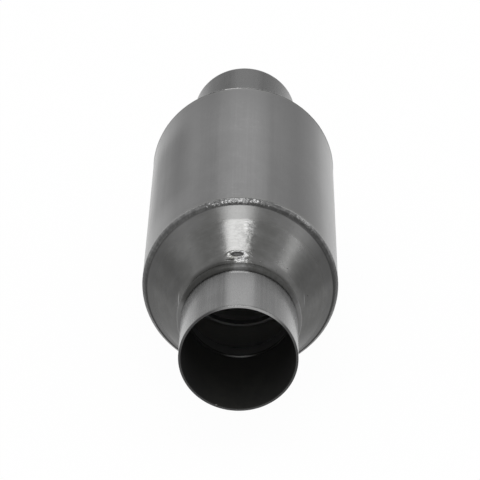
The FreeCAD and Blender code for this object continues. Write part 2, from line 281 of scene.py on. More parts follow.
def seam_bead(material):
    """The low bead down the shell's butt seam, along the bottom between the two end welds."""
    length = 2 * END_LAP
    steps, across_steps = 720, 14
    pitch = 1.5 * MM
    root_depth = 0.5 * MM
    crown_height = SEAM_CROWN_R - SHELL_R
    rows = []
    for step in range(steps + 1):
        run = -END_LAP + length * step / steps
        row = []
        for place in range(across_steps + 1):
            across = 2 * place / across_steps - 1
            crown = (1 - abs(across) ** 2.2) ** 0.9
            scale = scale_ripple(run + END_LAP, across, pitch, seed=31)
            swell = 0.85 + 0.15 * noise.noise(Vector((run / MM * 0.08, across, 4)))
            rise = crown * crown_height * (0.35 + 0.6 * scale) * swell
            wander = 0.12 * MM * noise.noise(Vector((run / MM * 0.05, 2, 8)))
            sideways = across * SEAM_HALF_WIDTH * 0.95 + wander
            base = math.sqrt(SHELL_R ** 2 - sideways ** 2)
            row.append(Vector((sideways, run, -(base + rise))))
        for across in (1, -1):
            row.append(Vector((across * SEAM_HALF_WIDTH * 0.9, run, -(SHELL_R - root_depth))))
        rows.append(row)
    grid = closed_grid(rows, wrap_rows=False)
    grid.verts.ensure_lookup_table()
    width = len(rows[0])
    grid.faces.new([grid.verts[index] for index in range(width)])
    grid.faces.new([grid.verts[index] for index in range(len(grid.verts) - width, len(grid.verts))])
    return finished("seam_bead", grid, material)


def on_skin(side, along, angle, sideways, uphill, height):
    """A point near a spot of the end cone: sideways round it, uphill towards the shell, and so
    high above its skin."""
    spot = along - uphill * math.cos(CONE_ANGLE)
    fall = (skin_radius(spot - 0.05 * MM) - skin_radius(spot + 0.05 * MM)) / (0.1 * MM)
    steep = math.hypot(1, fall)
    radius = skin_radius(spot)
    return at(side, spot + height * fall / steep, radius + height / steep,
              angle + sideways / radius)


def weld_lump(name, along, angle, half_width, half_height, height_at, seed, material,
              crater_material=None, in_crater=None):
    """A lump of weld metal on the inlet cone: height_at gives its height over sideways and
    uphill distances and over the share of the way from its middle to its edge."""
    rows = []
    crater_points = set()
    ring_steps, around_steps = 30, 110
    root_depth = 0.3 * MM
    for ring in range(ring_steps + 1):
        share = ring / ring_steps
        row = []
        for place in range(around_steps):
            turn = 2 * math.pi * place / around_steps
            ragged = 1 + 0.2 * noise.noise(Vector((math.cos(turn) * 1.7, math.sin(turn) * 1.7, seed)))
            sideways = half_width * share * ragged * math.cos(turn)
            uphill = half_height * share * ragged * math.sin(turn)
            height = height_at(sideways, uphill, share) - root_depth * share ** 10
            row.append(on_skin(INLET, along, angle, sideways, uphill, height))
            if in_crater and in_crater(sideways, uphill):
                crater_points.add((ring, place))
        rows.append(row)
    grid = closed_grid(rows, wrap_rows=False)
    for index, face in enumerate(grid.faces):
        face.material_index = 1 if divmod(index, around_steps) in crater_points else 0
    bmesh.ops.remove_doubles(grid, verts=grid.verts, dist=0.001 * MM)
    lump = finished(name, grid, material)
    if crater_material:
        lump.data.materials.append(crater_material)
    return lump


def crater_lump(material, crater_material):
    """The flat topped lump with a crater, on the inlet cone just above its neck bead."""
    crater_half_width, crater_half_height = 3.9 * MM, 1.3 * MM
    lump_height, crater_depth = 0.85, 0.62

    def from_crater(sideways, uphill):
        return math.hypot((sideways + 0.1 * MM) / crater_half_width,
                          (uphill - 0.6 * MM) / crater_half_height)

    def height_at(sideways, uphill, share):
        edge = max(0.0, min(1.0, (1 - share) / 0.22))
        plateau = lump_height * edge ** 0.5
        swells = 0.13 * edge * noise.noise(Vector((sideways / MM * 0.5, uphill / MM * 0.8, 3)))
        dip = 1 / (1 + from_crater(sideways, uphill) ** 9)
        return (plateau + swells - crater_depth * dip) * MM

    weld_lump("inlet_crater_lump", along=126.7 * MM, angle=math.radians(-1.8),
              half_width=9.8 * MM, half_height=3.9 * MM, height_at=height_at, seed=5.0,
              material=material, crater_material=crater_material,
              in_crater=lambda sideways, uphill: from_crater(sideways, uphill) < 1.0)


def run_down_lump(material):
    """Metal that ran from the lump down to the neck bead."""
    def height_at(sideways, uphill, share):
        edge = max(0.0, min(1.0, (1 - share) / 0.3))
        spot = middle - uphill * math.cos(CONE_ANGLE)
        face = cone_radius(spot) + 1.1 * MM - skin_radius(spot)
        swells = 0.2 * MM * noise.noise(Vector((sideways / MM * 0.6, uphill / MM * 0.6, 8)))
        return (max(0.15 * MM, face) + swells) * edge ** 0.6

    middle = 131.0 * MM
    weld_lump("inlet_run_down_lump", along=middle, angle=math.radians(1.8),
              half_width=6.6 * MM, half_height=3.3 * MM, height_at=height_at, seed=9.0,
              material=material)


def droplet(grid, centre, outward, size, seed):
    """Adds one frozen drop of spatter, flattened on the surface it stuck to."""
    flattening = 0.45
    placed = Matrix.Translation(centre) @ outward.to_track_quat("Z", "Y").to_matrix().to_4x4()
    made = bmesh.ops.create_icosphere(grid, subdivisions=3, radius=size, matrix=placed)
    for vertex in made["verts"]:
        offset = vertex.co - centre
        height = offset.dot(outward)
        offset -= outward * height * flattening
        lump = 1 + 0.18 * noise.noise(vertex.co / size * 0.9 + Vector((seed, 0, 0)))
        vertex.co = centre + offset * lump


def spatter(end, side, spots, count, seed, material):
    """Frozen drops beside a neck bead: chosen spots of (along, angle, size), then stray ones."""
    chance = random.Random(seed)
    nearest, reach = 2, 15      # mm from the neck bead
    strays = []
    for _ in range(count):
        along = NECK_LAP - (nearest + reach * chance.random() ** 2) * MM
        strays.append((along, math.radians(chance.uniform(0, 360)), chance.uniform(0.2, 0.42) * MM))
    grid = bmesh.new()
    outward_along, outward_radius = math.sin(CONE_ANGLE), math.cos(CONE_ANGLE)
    for index, (along, angle, size) in enumerate(spots + strays):
        centre = at(side, along, cone_radius(along), angle)
        tip = at(side, along + outward_along, cone_radius(along) + outward_radius, angle)
        droplet(grid, centre, (tip - centre).normalized(), size, index)
    return finished(f"{end}_spatter", grid, material)


def mouth_burr(material):
    """A curl of metal that the cut left on the inlet mouth's inner edge, low on the left."""
    angle_from, angle_to = math.radians(201.0), math.radians(204.2)
    bore = PIPE_R - WALL
    thickest = 0.52 * MM
    steps, around_steps = 14, 10
    rows = []
    for step in range(steps + 1):
        share = step / steps
        angle = angle_from + (angle_to - angle_from) * share
        thick = thickest * math.sin(math.pi * share) ** 0.6 + 0.01 * MM
        lean = 0.18 * MM * noise.noise(Vector((share * 4, 1, 1)))
        row = []
        for place in range(around_steps):
            turn = 2 * math.pi * place / around_steps
            along = MOUTH - 0.5 * MM + thick * 0.9 * math.sin(turn)
            row.append(at(INLET, along, bore + 0.05 * MM + lean + thick * math.cos(turn), angle))
        rows.append(row)
    grid = closed_grid(rows, wrap_rows=False)
    return finished("inlet_mouth_burr", grid, material)


# Materials. Their masks are placed in mm and in degrees from the top.

class Board:
    """A node tree being wired. Values may be plain numbers, colours or sockets of other nodes."""

    def __init__(self, tree):
        self.tree = tree

    def add(self, kind, inputs=None, **settings):
        node = self.tree.nodes.new(kind)
        for name, value in settings.items():
            setattr(node, name, value)
        for socket, value in (inputs or {}).items():
            self.feed(node.inputs[socket], value)
        return node

    def feed(self, socket, value):
        if isinstance(value, bpy.types.NodeSocket):
            self.tree.links.new(value, socket)
        else:
            socket.default_value = value

    def math(self, operation, *values, clamp=False):
        inputs = dict(enumerate(values))
        node = self.add("ShaderNodeMath", inputs, operation=operation, use_clamp=clamp)
        return node.outputs[0]

    def times(self, first, second):
        return self.math("MULTIPLY", first, second)

    def vector(self, operation, *values):
        return self.add("ShaderNodeVectorMath", dict(enumerate(values)), operation=operation)

    def spread(self, value, low, high, to_low=0.0, to_high=1.0):
        """Eases a value between two levels on to another range."""
        node = self.add("ShaderNodeMapRange", {"Value": value, "From Min": low, "From Max": high,
                                               "To Min": to_low, "To Max": to_high},
                        interpolation_type="SMOOTHSTEP")
        return node.outputs["Result"]

    def noise(self, vector, scale, detail=3.0, roughness=0.5, distortion=0.0):
        node = self.add("ShaderNodeTexNoise", {"Vector": vector, "Scale": scale, "Detail": detail,
                                               "Roughness": roughness, "Distortion": distortion})
        return node.outputs["Fac"]

    def blend(self, factor, first, second, kind="MIX"):
        node = self.add("ShaderNodeMix", data_type="RGBA", blend_type=kind)
        self.feed(node.inputs[0], factor)
        self.feed(node.inputs[6], first)
        self.feed(node.inputs[7], second)
        return node.outputs[2]

    def tint(self, colour, mask, strength, shade):
        """Lays a shade over a colour where the mask is, at most at the given strength."""
        return self.blend(self.times(mask, strength), colour, shade)

    def group(self, name, **inputs):
        node = self.add("ShaderNodeGroup", node_tree=GROUPS[name])
        for socket, value in inputs.items():
            self.feed(node.inputs[socket], value)
        return node.outputs

    def turned_place(self):
        return self.group("place")

    def band(self, value, start, stop, soft):
        """1 where a value lies between start and stop, easing to 0 over the soft width."""
        return self.group("band", Value=value, From=start, To=stop, Soft=soft)["Mask"]

    def grain(self, place, around, length, seed, detail):
        """Noise stretched over a turned piece, from 0 to 1."""
        return self.group("grain", Direction=place["Direction"], Run=place["Run"], Around=around,
                          Length=length, Seed=seed, Detail=detail)["Grain"]

    def rubbed_edge(self, place, edge, width, seed):
        return self.group("edge", Value=place["Along"], Edge=edge, Width=width, Seed=seed)["Mask"]

    def scuffs(self, seed, amount):
        return self.group("scuff", Seed=seed, Amount=amount)


def new_group(name, inputs, outputs):
    """An empty node group with float or vector sockets, and its board, inputs and outputs."""
    tree = bpy.data.node_groups.new(name, "ShaderNodeTree")
    for socket, kind, value in inputs:
        made = tree.interface.new_socket(socket, in_out="INPUT", socket_type=kind)
        if value is not None:
            made.default_value = value
    for socket, kind in outputs:
        tree.interface.new_socket(socket, in_out="OUTPUT", socket_type=kind)
    board = Board(tree)
    entry = board.add("NodeGroupInput").outputs
    leave = board.add("NodeGroupOutput").inputs
    return tree, board, entry, leave


FLOAT, VECTOR = "NodeSocketFloat", "NodeSocketVector"


def turned_place_group():
    """Where a point lies on a turned piece: along in mm, angle in degrees, radius in mm."""
    tree, board, _, leave = new_group("turned place", [], [
        ("Direction", VECTOR), ("Run", FLOAT), ("Along", FLOAT), ("Angle", FLOAT),
        ("Radius", FLOAT)])
    place = board.add("ShaderNodeTexCoord").outputs["Object"]
    parts = board.add("ShaderNodeSeparateXYZ", {0: place}).outputs
    flat = board.add("ShaderNodeCombineXYZ", {0: parts[0], 2: parts[2]}).outputs[0]
    radius = board.vector("LENGTH", flat).outputs["Value"]
    direction = board.vector("NORMALIZE", flat).outputs[0]
    run = board.times(parts[1], 1000.0)
    board.feed(leave["Direction"], direction)
    board.feed(leave["Run"], run)
    board.feed(leave["Along"], board.math("ABSOLUTE", run))
    turn = board.math("ARCTAN2", parts[0], parts[2])
    board.feed(leave["Angle"], board.math("DEGREES", turn))
    board.feed(leave["Radius"], board.times(radius, 1000.0))
    return tree


def stretched_grain_group():
    """Noise on a turned piece, stretched along or round it: around is swells per radian or so,
    and length is swells per mm of the run."""
    tree, board, entry, leave = new_group("stretched grain", [
        ("Direction", VECTOR, None), ("Run", FLOAT, 0.0), ("Around", FLOAT, 20.0),
        ("Length", FLOAT, 0.1), ("Seed", FLOAT, 0.0), ("Detail", FLOAT, 3.0)],
        [("Grain", FLOAT)])
    spread = board.vector("SCALE", entry["Direction"])
    board.feed(spread.inputs["Scale"], entry["Around"])
    lengthwise = board.math("MULTIPLY_ADD", entry["Run"], entry["Length"], entry["Seed"])
    offset = board.add("ShaderNodeCombineXYZ", {1: lengthwise}).outputs[0]
    point = board.vector("ADD", spread.outputs[0], offset).outputs[0]
    board.feed(leave["Grain"], board.noise(point, 1.0, entry["Detail"], 0.6))
    return tree


def band_group():
    """1 where a value lies between two levels, easing to 0 over the soft width."""
    tree, board, entry, leave = new_group("band", [
        ("Value", FLOAT, 0.0), ("From", FLOAT, 0.0), ("To", FLOAT, 1.0), ("Soft", FLOAT, 0.1)],
        [("Mask", FLOAT)])
    rising = board.spread(entry["Value"], board.math("SUBTRACT", entry["From"], entry["Soft"]),
                          board.math("ADD", entry["From"], entry["Soft"]))
    falling = board.spread(entry["Value"], board.math("SUBTRACT", entry["To"], entry["Soft"]),
                           board.math("ADD", entry["To"], entry["Soft"]), 1.0, 0.0)
    board.feed(leave["Mask"], board.times(rising, falling))
    return tree


def rubbed_edge_group():
    """Bare, rubbed metal near an edge at a given level of a value, broken up by noise."""
    tree, board, entry, leave = new_group("rubbed edge", [
        ("Value", FLOAT, 0.0), ("Edge", FLOAT, 0.0), ("Width", FLOAT, 1.0), ("Seed", FLOAT, 0.0)],
        [("Mask", FLOAT)])
    place = board.add("ShaderNodeTexCoord").outputs["Object"]
    offset = board.add("ShaderNodeCombineXYZ", {0: entry["Seed"]}).outputs[0]
    point = board.vector("ADD", place, offset).outputs[0]
    ragged = board.spread(board.noise(point, 420.0, 4.0), 0.3, 0.7, 0.45, 1.2)
    away = board.math("ABSOLUTE", board.math("SUBTRACT", entry["Value"], entry["Edge"]))
    reach = board.times(entry["Width"], ragged)
    board.feed(leave["Mask"], board.spread(board.math("DIVIDE", away, reach), 0.3, 1.0, 1.0, 0.0))
    return tree


def scuff_group():
    """Fine scratches and small specks of handling over a piece."""
    tree, board, entry, leave = new_group("scuffs", [
        ("Seed", FLOAT, 0.0), ("Amount", FLOAT, 0.5)], [("Scratch", FLOAT), ("Speck", FLOAT)])
    place = board.add("ShaderNodeTexCoord").outputs["Object"]
    offset = board.add("ShaderNodeCombineXYZ", {0: entry["Seed"], 1: entry["Seed"]}).outputs[0]
    point = board.vector("ADD", place, offset).outputs[0]
    tilted = board.add("ShaderNodeMapping", {"Vector": point, "Rotation": (0.3, 0.5, 0.9),
                                             "Scale": (1.0, 22.0, 22.0)}).outputs[0]
    lines = board.noise(tilted, 34.0, 2.0, 0.5, 0.4)
    thin = board.spread(board.math("ABSOLUTE", board.math("SUBTRACT", lines, 0.5)), 0.0, 0.012,
                        1.0, 0.0)
    patches = board.spread(board.noise(point, 26.0), 0.5, 0.68)
    board.feed(leave["Scratch"], board.times(board.times(thin, patches), entry["Amount"]))
    specks = board.spread(board.noise(point, 620.0, 1.0), 0.70, 0.78)
    board.feed(leave["Speck"], board.times(specks, entry["Amount"]))
    return tree


GROUPS = {"place": turned_place_group(), "grain": stretched_grain_group(), "band": band_group(),
          "edge": rubbed_edge_group(), "scuff": scuff_group()}


def grey(level, warm=0.0):
    """A neutral colour, or a slightly olive one where warm is above 0."""
    return (level * (1 + 0.3 * warm), level * (1 + 0.3 * warm), level * (1 - warm), 1.0)


DULL = {"Specular IOR Level": 0.1}
FILMED = {"Specular IOR Level": 0.1, "Coat Roughness": 0.12}


def steel(name, constants):
    """An empty metal material, given its shader's constants: its board and its shader."""
    material = bpy.data.materials.new(name)
    material.use_nodes = True
    board = Board(material.node_tree)
    shader = material.node_tree.nodes["Principled BSDF"]
    for socket, value in {"Metallic": 1.0, **constants}.items():
        shader.inputs[socket].default_value = value
    return material, board, shader


def surface(board, shader, colour, roughness, height, bump_strength, bump_distance):
    board.feed(shader.inputs["Base Color"], colour)
    board.feed(shader.inputs["Roughness"], roughness)
    bump = board.add("ShaderNodeBump", {"Strength": bump_strength, "Distance": bump_distance,
                                        "Height": height})
    board.feed(shader.inputs["Normal"], bump.outputs[0])


def total(board, *terms):
    """The sum of values, each times its weight."""
    result = 0.0
    for value, weight in terms:
        result = board.math("MULTIPLY_ADD", value, weight, result)
    return result


def rolled_shell_steel():
    """Satin sheet, rolled: faint streaks along it, painted dark reflections in a soft patch on the
    upper left and on the upper left and right, painted shade either side of the top highlight,
    tint by the welds and a pale, dull inside."""
    material, board, shader = steel("rolled_shell_steel", FILMED)
    place = board.turned_place()
    streaks = board.grain(place, around=46.0, length=0.006, seed=3.0, detail=4.0)
    broad = board.grain(place, around=7.0, length=0.004, seed=11.0, detail=2.0)
    cloud = board.grain(place, around=3.0, length=0.03, seed=20.0, detail=3.0)
    fine = board.grain(place, around=420.0, length=0.25, seed=5.0, detail=2.0)
    scuff = board.scuffs(seed=1.7, amount=0.6)
    # Painted dark reflection: a soft dark patch on the upper left, over the middle of the shell.
    patch_round = board.band(place["Angle"], -64.0, -40.0, soft=8.0)
    patch_run = board.band(place["Run"], -8.0, 40.0, soft=28.0)
    painted_dark_patch = board.times(patch_round, patch_run)
    shade = total(board, (streaks, 0.26), (broad, 0.16), (cloud, 0.40), (fine, 0.08))
    colour = board.blend(board.spread(shade, 0.30, 0.62), grey(0.102), grey(0.144))
    # Painted shade: two darker bands either side of the top, narrowing the top highlight.
    for start, stop in ((-14.0, -6.0), (10.0, 19.0)):
        painted_shading_band = board.band(place["Angle"], start, stop, soft=4.0)
        colour = board.tint(colour, painted_shading_band, 0.20, grey(0.04))
    far_end = board.spread(place["Run"], 30.0, 95.0)
    colour = board.tint(colour, far_end, 0.42, grey(0.04))
    # Painted dark reflections on the upper left and upper right, where the coat is also thinner.
    painted_left_dark_reflection = board.band(place["Angle"], -68.0, -36.0, soft=8.0)
    left_run = board.band(place["Run"], -58.0, 56.0, soft=20.0)
    painted_left_dark_reflection = board.times(painted_left_dark_reflection, board.math("MULTIPLY_ADD", left_run, 0.7, 0.3))
    colour = board.tint(colour, painted_left_dark_reflection, 0.7, grey(0.06))
    painted_right_dark_reflection = board.band(place["Angle"], 29.0, 57.0, soft=9.0)
    colour = board.tint(colour, painted_right_dark_reflection, 0.55, grey(0.07))
    colour = board.tint(colour, painted_dark_patch, 0.72, grey(0.04))
    weld_tint = board.band(place["Along"], 86.5, 95.0, soft=2.0)
    colour = board.tint(colour, weld_tint, 0.35, grey(0.14, 0.05))
    colour = board.tint(colour, scuff["Scratch"], 0.5, grey(0.34))
    colour = board.tint(colour, scuff["Speck"], 0.5, grey(0.09))
    edge = board.rubbed_edge(place, SHELL_HALF / MM, width=0.8, seed=2.0)
    colour = board.tint(colour, edge, 0.6, grey(0.42))
    inside = board.spread(place["Radius"], SHELL_R / MM - 1.3, SHELL_R / MM - 0.6, 1.0, 0.0)
    first_space = board.band(place["Run"], -130.0, -30.0, soft=3.0)
    bare = board.blend(first_space, grey(0.38, 0.02), grey(0.45, 0.02))
    colour = board.blend(inside, colour, bare)
    board.feed(shader.inputs["Metallic"], board.math("SUBTRACT", 1.0, inside))
    roughness = total(board, (streaks, 0.08), (cloud, 0.08), (scuff["Scratch"], -0.1),
                      (inside, 0.35), (0.24, 1.0))
    coat = total(board, (painted_left_dark_reflection, -0.35), (painted_right_dark_reflection, -0.27), (0.35, 1.0))
    coat = board.times(coat, board.math("SUBTRACT", 1.0, inside))
    board.feed(shader.inputs["Coat Weight"], coat)
    height = total(board, (fine, 0.012), (streaks, 0.02), (cloud, 0.25),
                   (scuff["Scratch"], -0.01))
    surface(board, shader, colour, roughness, height, bump_strength=0.5, bump_distance=0.5 * MM)
    return material


def spun_cone_steel():
    """Half polished sheet: rings left by spinning, hand burnished swirls, a duller belt by the
    end weld, a darker one by the neck weld and a patch of ground furrows on top. Painted light
    on it: light streaks on the left and right, shade on the flanks and along the end bead's toe,
    a dark reflection left of the neck, glints near the neck and a highlight among the furrows."""
    material, board, shader = steel("spun_cone_steel", {"Specular Tint": (0.62, 0.62, 0.62, 1)})
    place = board.turned_place()
    rings = board.grain(place, around=1.5, length=1.1, seed=2.0, detail=3.0)
    swirls = board.grain(place, around=9.0, length=0.32, seed=7.0, detail=4.0)
    cloud = board.grain(place, around=2.5, length=0.05, seed=13.0, detail=3.0)
    fine = board.grain(place, around=260.0, length=3.5, seed=4.0, detail=2.0)
    scuff = board.scuffs(seed=8.3, amount=0.5)
    belt_edge = total(board, (swirls, 3.0), (place["Along"], 1.0))
    belt = board.spread(belt_edge, 103.0, 105.5, 1.0, 0.0)
    shade = total(board, (cloud, 0.45), (swirls, 0.25), (rings, 0.15))
    colour = board.blend(board.spread(shade, 0.32, 0.55), grey(0.118, 0.02), grey(0.157, 0.01))
    colour = board.tint(colour, belt, 0.25, grey(0.135))
    off_top = board.math("ABSOLUTE", place["Angle"])
    # Painted light: a lighter streak on the upper left of the cone.
    painted_left_light = board.band(place["Angle"], -44.0, -36.0, soft=9.0)
    colour = board.tint(colour, painted_left_light, 0.35, grey(0.26))
    # Painted highlight: a lighter band on the upper right; it is rougher there too, more so by the
    # neck.
    painted_right_highlight = board.band(place["Angle"], 26.0, 52.0, soft=6.0)
    colour = board.tint(colour, painted_right_highlight, 0.20, grey(0.26))
    # Painted shade on both flanks of the cone's outer part.
    flank = board.band(off_top, 56.0, 84.0, soft=8.0)
    flank = board.times(flank, board.spread(place["Along"], 124.0, 130.0, 1.0, 0.0))
    colour = board.tint(colour, flank, 0.42, grey(0.05))
    # Painted shade: a dark line in the crease along the end bead's toe, wider round the sides.
    round_side = board.spread(off_top, 14.0, 42.0)
    toe_reach = total(board, (round_side, -0.6), (place["Along"], 1.0))
    toe = board.times(board.spread(place["Along"], 92.8, 93.1),
                      board.spread(toe_reach, 93.8, 94.2, 1.0, 0.0))
    toe = board.times(toe, board.spread(place["Angle"], -40.0, 30.0, 0.5, 0.75))
    colour = board.blend(toe, colour, grey(0.04))
    neck_tint = board.band(place["Along"], 130.5, 140.0, soft=2.5)
    colour = board.tint(colour, neck_tint, 0.35, grey(0.08, 0.05))
    # Painted dark reflection on the upper left, just below the neck bend.
    painted_dark_reflection_round = board.band(place["Angle"], -52.0, -12.0, soft=8.0)
    painted_dark_reflection = board.times(painted_dark_reflection_round, board.spread(place["Along"], 127.5, 131.0))
    colour = board.tint(colour, painted_dark_reflection, 0.75, grey(0.035, 0.05))
    # Painted highlights: thin light lines left and right near the neck, on the inlet cone only.
    left_slant = total(board, (place["Angle"], 0.28), (place["Along"], 1.0))
    left_painted_glint = board.band(left_slant, 107.2, 108.0, soft=0.3)
    left_reach = board.band(place["Angle"], -81.0, -71.0, soft=3.0)
    right_slant = total(board, (place["Angle"], -0.22), (place["Along"], 1.0))
    right_painted_glint = board.band(right_slant, 107.4, 108.1, soft=0.3)
    right_reach = board.band(place["Angle"], 74.0, 82.0, soft=3.0)
    painted_glints = total(board, (board.times(left_painted_glint, left_reach), 0.6),
                 (board.times(right_painted_glint, right_reach), 0.35))
    painted_glints = board.times(painted_glints, board.spread(place["Run"], -20.0, 20.0, 1.0, 0.0))
    colour = board.blend(painted_glints, colour, grey(0.42))
    colour = board.tint(colour, scuff["Scratch"], 0.5, grey(0.3))
    colour = board.tint(colour, scuff["Speck"], 0.6, grey(0.07))
    ground_round = board.band(place["Angle"], -5.0, 13.0, soft=5.0)
    ground_along = board.band(place["Along"], 103.0, 122.0, soft=3.0)
    ground = board.times(ground_round, ground_along)
    marks = board.grain(place, around=14.0, length=0.6, seed=31.0, detail=2.0)
    furrow = board.times(board.spread(marks, 0.50, 0.60), ground)
    colour = board.tint(colour, furrow, 0.20, grey(0.07))
    # Painted highlight: lighter spots among the furrows right of the top, widening the top highlight
    # there.
    bright_round = board.band(place["Angle"], 3.5, 10.2, soft=1.4)
    bright_along = board.band(place["Along"], 103.5, 111.5, soft=2.0)
    painted_highlight = board.times(bright_round, bright_along)
    painted_highlight = board.times(painted_highlight, board.spread(marks, 0.36, 0.52, 1.0, 0.3))
    colour = board.tint(colour, painted_highlight, 0.55, grey(0.29))
    marks = board.times(marks, ground)
    dull_side = board.times(painted_right_highlight, board.spread(place["Along"], 125.0, 129.0))
    roughness = total(board, (belt, 0.10), (cloud, 0.10), (swirls, 0.08), (painted_right_highlight, 0.05),
                      (dull_side, 0.25), (0.12, 1.0))
    height = total(board, (rings, 0.06), (swirls, 0.16), (cloud, 0.6), (fine, 0.006),
                   (marks, 0.5), (scuff["Scratch"], -0.01))
    surface(board, shader, colour, roughness, height, bump_strength=0.6, bump_distance=0.4 * MM)
    return material


def drawn_pipe_steel(end, tone, soot_tone):
    """Satin tube, drawn and scuffed, with a sooty bore and a dull cut mouth. Painted light on it:
    highlights along the top, on the sides near the mouth, on top of the cut mouth and, on the
    inlet, a reflection by the neck bead; a dark reflection on the upper left, shade on the sides
    by the neck and shade in the bore away from its bottom. The tone is that of the pipe's upper half."""
    material, board, shader = steel(f"drawn_pipe_steel_{end}", FILMED)
    place = board.turned_place()
    streaks = board.grain(place, around=30.0, length=0.012, seed=9.0, detail=4.0)
    cloud = board.grain(place, around=3.5, length=0.06, seed=17.0, detail=3.0)
    fine = board.grain(place, around=260.0, length=0.5, seed=6.0, detail=2.0)
    scuff = board.scuffs(seed=4.1, amount=0.7)
    shade = total(board, (streaks, 0.4), (cloud, 0.35), (fine, 0.1))
    shade = board.spread(shade, 0.30, 0.55)
    grey_steel = board.blend(shade, grey(0.116), grey(0.168))
    colour = board.blend(shade, grey(0.116 * tone), grey(0.168 * tone))
    # Painted highlight: a lighter band along the top.
    painted_shading_band = board.band(place["Angle"], -11.0, 19.0, soft=5.0)
    colour = board.tint(colour, painted_shading_band, 0.5, grey(0.23 * tone))
    off_top = board.math("ABSOLUTE", place["Angle"])
    above = board.spread(off_top, 50.0, 100.0, 1.0, 0.0)
    colour = board.blend(above, grey_steel, colour)
    # Painted highlight: lighter on both sides near the mouth.
    painted_side_highlight = board.band(off_top, 57.0, 76.0, soft=8.0)
    painted_side_highlight = board.times(painted_side_highlight, board.spread(place["Along"], 158.0, 170.0))
    colour = board.tint(colour, painted_side_highlight, 0.42, grey(0.34 * tone))
    # Painted dark reflection on the upper left.
    painted_left_dark_reflection = board.band(place["Angle"], -44.0, -34.0, soft=5.0)
    colour = board.tint(colour, painted_left_dark_reflection, 0.4, grey(0.06 * tone))
    # Painted shade on the sides next to the neck.
    by_neck = board.band(off_top, 42.0, 70.0, soft=10.0)
    by_neck = board.times(by_neck, board.spread(place["Along"], 148.0, 162.0, 1.0, 0.0))
    colour = board.tint(colour, by_neck, 0.5, grey(0.03 * tone))
    # Painted reflection of the cone's highlight: a light strip on top next to the neck bead, on the
    # inlet only.
    if end == "inlet":
        painted_reflection_along = board.band(place["Along"], 139.2, 143.0, soft=0.8)
        painted_reflection_round = board.band(place["Angle"], -8.5, 9.0, soft=2.0)
        painted_reflection = board.times(painted_reflection_along, painted_reflection_round)
        colour = board.blend(painted_reflection, colour, grey(0.42))
    colour = board.tint(colour, scuff["Scratch"], 0.5, grey(0.4))
    edge = board.rubbed_edge(place, MOUTH / MM, width=1.1, seed=5.0)
    lip = board.band(place["Along"], 186.3, 187.3, soft=0.3)
    colour = board.tint(colour, lip, 0.6, grey(0.05))
    # The cut mouth is dark, with a painted highlight along its top.
    painted_top_light = board.band(place["Angle"], -16.0, 40.0, soft=16.0)
    cut_face = board.blend(painted_top_light, grey(0.03), grey(0.36))
    colour = board.tint(colour, edge, 0.8, cut_face)
    bore = (PIPE_R - WALL) / MM
    inside = board.spread(place["Radius"], bore + 0.05, bore + 0.3, 1.0, 0.0)
    soot = board.blend(board.spread(cloud, 0.35, 0.7), grey(0.027 * soot_tone, 0.03),
                       grey(0.034 * soot_tone, 0.06))
    # Painted shade: the bore is darker away from its bottom.
    low = board.spread(off_top, 115.0, 168.0)
    soot = board.blend(low, grey(0.022 * soot_tone, 0.02), soot)
    far = board.spread(place["Along"], 112.0, 150.0, 0.6, 0.0)
    soot = board.blend(far, soot, grey(0.055 * soot_tone, 0.02))
    colour = board.blend(inside, colour, soot)
    board.feed(shader.inputs["Metallic"], board.math("MULTIPLY_ADD", inside, -0.95, 1.0))
    roughness = total(board, (streaks, 0.08), (cloud, 0.08), (inside, 0.55), (0.19, 1.0))
    coat = 0.35 * tone ** 2
    board.feed(shader.inputs["Coat Weight"], board.math("MULTIPLY_ADD", inside, -coat, coat))
    height = total(board, (fine, 0.002), (streaks, 0.02), (cloud, 0.2),
                   (scuff["Scratch"], -0.01))
    surface(board, shader, colour, roughness, height, bump_strength=0.5, bump_distance=0.4 * MM)
    return material


def pressed_inner_steel():
    """Raw pressed sheet inside the muffler, sooty, with bare cut rims that face the mouths."""
    material, board, shader = steel("pressed_inner_steel", {"Metallic": 0.05, **DULL})
    place = board.turned_place()
    cloud = board.grain(place, around=4.0, length=0.08, seed=23.0, detail=4.0)
    fine = board.grain(place, around=160.0, length=1.2, seed=29.0, detail=2.0)
    soot = board.blend(board.spread(cloud, 0.38, 0.65), grey(0.020, 0.03), grey(0.030, 0.05))
    partition = board.band(place["Run"], -72.0, -20.0, soft=1.0)
    facing_out = board.spread(place["Radius"], 41.6, 42.0)
    soot = board.blend(board.times(partition, facing_out), soot, grey(0.5))
    first_cone = board.band(place["Run"], -120.5, -50.0, soft=1.0)
    soot = board.blend(first_cone, soot, grey(0.09))
    soot = board.blend(board.spread(place["Radius"], 58.0, 61.0), soot, grey(0.45))
    # Painted shade: everything inside from the middle towards the outlet is nearly black.
    deep = board.spread(place["Run"], -10.0, 0.0)
    soot = board.blend(deep, soot, grey(0.008))
    inlet_side = board.spread(place["Run"], -20.0, 20.0, 1.0, 0.0)
    # Painted highlight: the inlet diffuser's bare rim shows bright only along its bottom.
    low = board.spread(board.math("ABSOLUTE", place["Angle"]), 154.0, 178.0)
    low = board.times(low, low)
    collar_rim = board.rubbed_edge(place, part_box("outlet_diffuser")[1].y / MM, width=0.7, seed=7.0)
    mouth_rim = board.rubbed_edge(place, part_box("outlet_partition")[1].y / MM, width=0.7, seed=9.0)
    collar_rim = board.times(board.times(collar_rim, low), inlet_side)
    mouth_rim = board.times(mouth_rim, inlet_side)
    colour = board.tint(soot, collar_rim, 0.95, grey(0.38))
    colour = board.tint(colour, mouth_rim, 0.9, grey(0.34))
    roughness = total(board, (cloud, 0.2), (0.6, 1.0))
    height = total(board, (fine, 0.03), (cloud, 0.2))
    surface(board, shader, colour, roughness, height, bump_strength=0.5, bump_distance=0.4 * MM)
    return material


